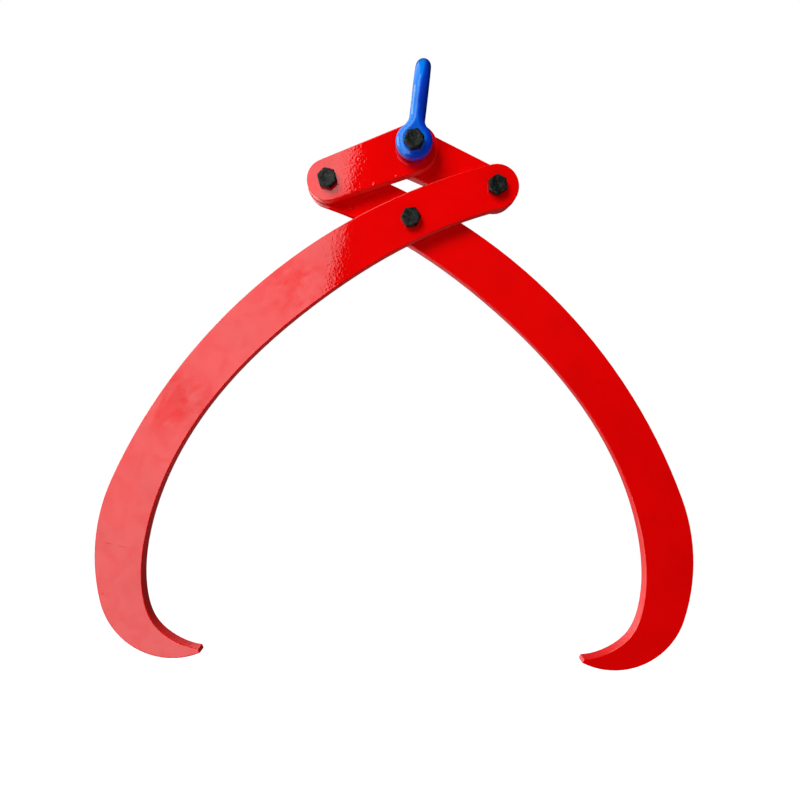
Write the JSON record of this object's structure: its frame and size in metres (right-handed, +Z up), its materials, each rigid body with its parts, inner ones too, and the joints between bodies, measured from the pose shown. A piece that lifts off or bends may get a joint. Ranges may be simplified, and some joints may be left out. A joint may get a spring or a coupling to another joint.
{
  "type": "log lifting clamp",
  "caption": "Scissor clamp for lifting logs: curved hook arms cross at a pivot, and links pull them shut from a bow shackle when it is raised.",
  "frame": {"origin": "seat of the lifting hook, on the underside of the shackle's crown", "axes": "+Z up, along the pull of the hook; +X right; -Y is the front, with the bolt heads; millimetres in the source, metres here"},
  "size_m": [0.7279, 0.1009, 0.7276],
  "materials": {
    "red_paint": "gloss red enamel on steel plate",
    "blue_paint": "gloss blue enamel on forged steel",
    "black_oxide": "black oxide, lightly oiled",
    "nylon": "natural nylon"
  },
  "bodies": {
    "shackle": {"shackle": "blue_paint", "shackle_bolt": "black_oxide", "shackle_washer": "black_oxide", "shackle_lock_nut": "black_oxide", "shackle_nut_insert": "nylon"},
    "left_link": {"left_link": "red_paint", "left_pivot_bolt": "black_oxide", "left_pivot_washer": "black_oxide", "left_pivot_lock_nut": "black_oxide", "left_pivot_nut_insert": "nylon"},
    "right_link": {"right_link": "red_paint", "right_pivot_bolt": "black_oxide", "right_pivot_washer": "black_oxide", "right_pivot_lock_nut": "black_oxide", "right_pivot_nut_insert": "nylon"},
    "front_arm": {"front_arm": "red_paint", "centre_pivot_bolt": "black_oxide", "centre_pivot_washer": "black_oxide", "centre_pivot_lock_nut": "black_oxide", "centre_pivot_nut_insert": "nylon"},
    "back_arm": {"back_arm": "red_paint"}
  },
  "joints": [
    {"name": "shackle_swing", "type": "hinge", "parent": "shackle", "child": "left_link", "pos_m": [-0.00783, 0, -0.08829], "axis": [0, 1, 0], "range_deg": [-70, 70]},
    {"name": "link_fold", "type": "hinge", "parent": "left_link", "child": "right_link", "pos_m": [-0.00783, 0, -0.08829], "axis": [0, 1, 0], "range_deg": [-11, 46]},
    {"name": "back_arm_fold", "type": "hinge", "parent": "left_link", "child": "back_arm", "pos_m": [-0.10761, 0, -0.12962], "axis": [0, 1, 0], "range_deg": [-11, 46]},
    {"name": "front_arm_fold", "type": "hinge", "parent": "right_link", "child": "front_arm", "pos_m": [0.09195, 0, -0.12962], "axis": [0, 1, 0], "range_deg": [-46, 11]}
  ],
  "couplings": [
    {"joint": "back_arm_fold", "follows": "link_fold", "ratio": 1},
    {"joint": "front_arm_fold", "follows": "link_fold", "ratio": -1}
  ]
}
